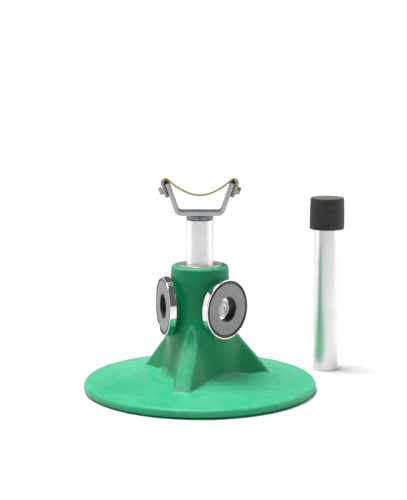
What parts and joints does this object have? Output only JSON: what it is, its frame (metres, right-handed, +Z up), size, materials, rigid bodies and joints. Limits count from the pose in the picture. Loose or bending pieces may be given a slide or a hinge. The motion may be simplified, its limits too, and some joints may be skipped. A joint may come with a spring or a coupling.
{
  "type": "hoof stand",
  "caption": "Farrier's hoof stand: round moulded base with tool magnets, swivelling height-adjustable post with a webbing sling, and a spare straight post with a rubber cap.",
  "frame": {"origin": "centre of the base on the surface it stands on", "axes": "+Z up along the post, the yoke's arms spread along X, front is -Y"},
  "size_m": [0.3756, 0.3269, 0.3003],
  "materials": {
    "moulded_green": "satin moulded polyethylene, fine grain",
    "aluminium": "polished, fine turned lines",
    "steel": "plain machined",
    "galvanised": "matt grey, granular zinc",
    "zinc_plate": "bright zinc plate",
    "chrome": "mirror",
    "ferrite": "ground matt grey",
    "resin": "black potting resin",
    "nylon": "natural",
    "brass": "turned",
    "rubber": "matt moulded",
    "webbing": "woven, yellow edge"
  },
  "bodies": {
    "base": {"base_moulding": "moulded_green", "bottom_plate": "steel", "plate_screw_1": "zinc_plate", "plate_screw_2": "zinc_plate", "plate_screw_3": "zinc_plate", "socket_tube": "steel", "upper_bush": "nylon", "lower_bush": "nylon", "magnet_cup_right": "chrome", "magnet_ring_right": "ferrite", "magnet_resin_right": "resin", "magnet_washer_right": "zinc_plate", "magnet_screw_right": "zinc_plate", "magnet_insert_right": "brass", "magnet_cup_rear": "chrome", "magnet_ring_rear": "ferrite", "magnet_resin_rear": "resin", "magnet_washer_rear": "zinc_plate", "magnet_screw_rear": "zinc_plate", "magnet_insert_rear": "brass", "magnet_cup_left": "chrome", "magnet_ring_left": "ferrite", "magnet_resin_left": "resin", "magnet_washer_left": "zinc_plate", "magnet_screw_left": "zinc_plate", "magnet_insert_left": "brass"},
    "swivel": {"swivel_sleeve": "aluminium", "sleeve_plug": "steel", "height_stem": "steel", "stem_screw": "zinc_plate"},
    "cradle": {"post_tube": "aluminium", "height_peg": "steel", "weld_bead": "galvanised", "yoke": "galvanised", "sling": "webbing", "arm_pad_left": "rubber", "arm_pad_right": "rubber", "sling_bolt_left": "zinc_plate", "sling_bolt_right": "zinc_plate", "sling_washer_left": "zinc_plate", "sling_washer_right": "zinc_plate"},
    "spare_post": {"spare_post_tube": "aluminium", "spare_post_peg": "steel", "spare_post_cap": "rubber"}
  },
  "joints": [
    {"name": "cradle_swivel", "type": "hinge", "parent": "base", "child": "swivel", "pos_m": [0, 0, 0.1], "axis": [0, 0, 1], "continuous": true},
    {"name": "post_height", "type": "slide", "parent": "swivel", "child": "cradle", "axis": [0, 0, 1], "range_m": [0, 0.1]},
    {"name": "spare_post_lift", "type": "slide", "parent": "base", "child": "spare_post", "axis": [0, 0, 1], "range_m": [0, 0.32]}
  ]
}
